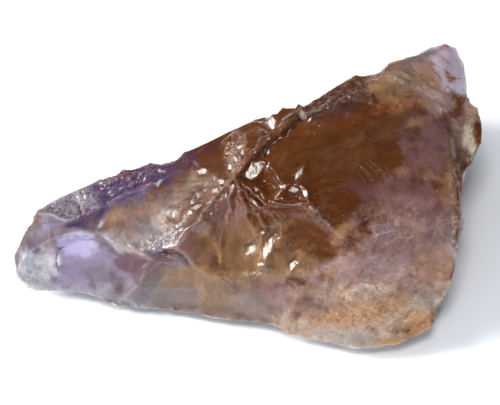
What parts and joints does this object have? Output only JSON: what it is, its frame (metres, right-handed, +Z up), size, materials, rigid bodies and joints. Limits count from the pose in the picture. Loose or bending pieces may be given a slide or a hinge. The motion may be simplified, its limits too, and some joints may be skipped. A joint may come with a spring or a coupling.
{
  "type": "rough ametrine stone",
  "caption": "Rough, wedge-shaped lump of ametrine: clear violet and golden-brown quartz with shell-shaped fracture faces and a flat underside.",
  "frame": {"origin": "middle of the bounding box, on the surface that the stone lies on", "axes": "+X along the stone, towards its thick end; +Y away from the sloping fracture faces; +Z up"},
  "size_m": [0.0454, 0.0302, 0.016],
  "materials": {
    "quartz": "glossy fracture faces, frosted towards the narrow end and sugary along the lower front edge"
  },
  "bodies": {
    "root": {"ametrine_stone": "quartz"}
  },
  "joints": []
}
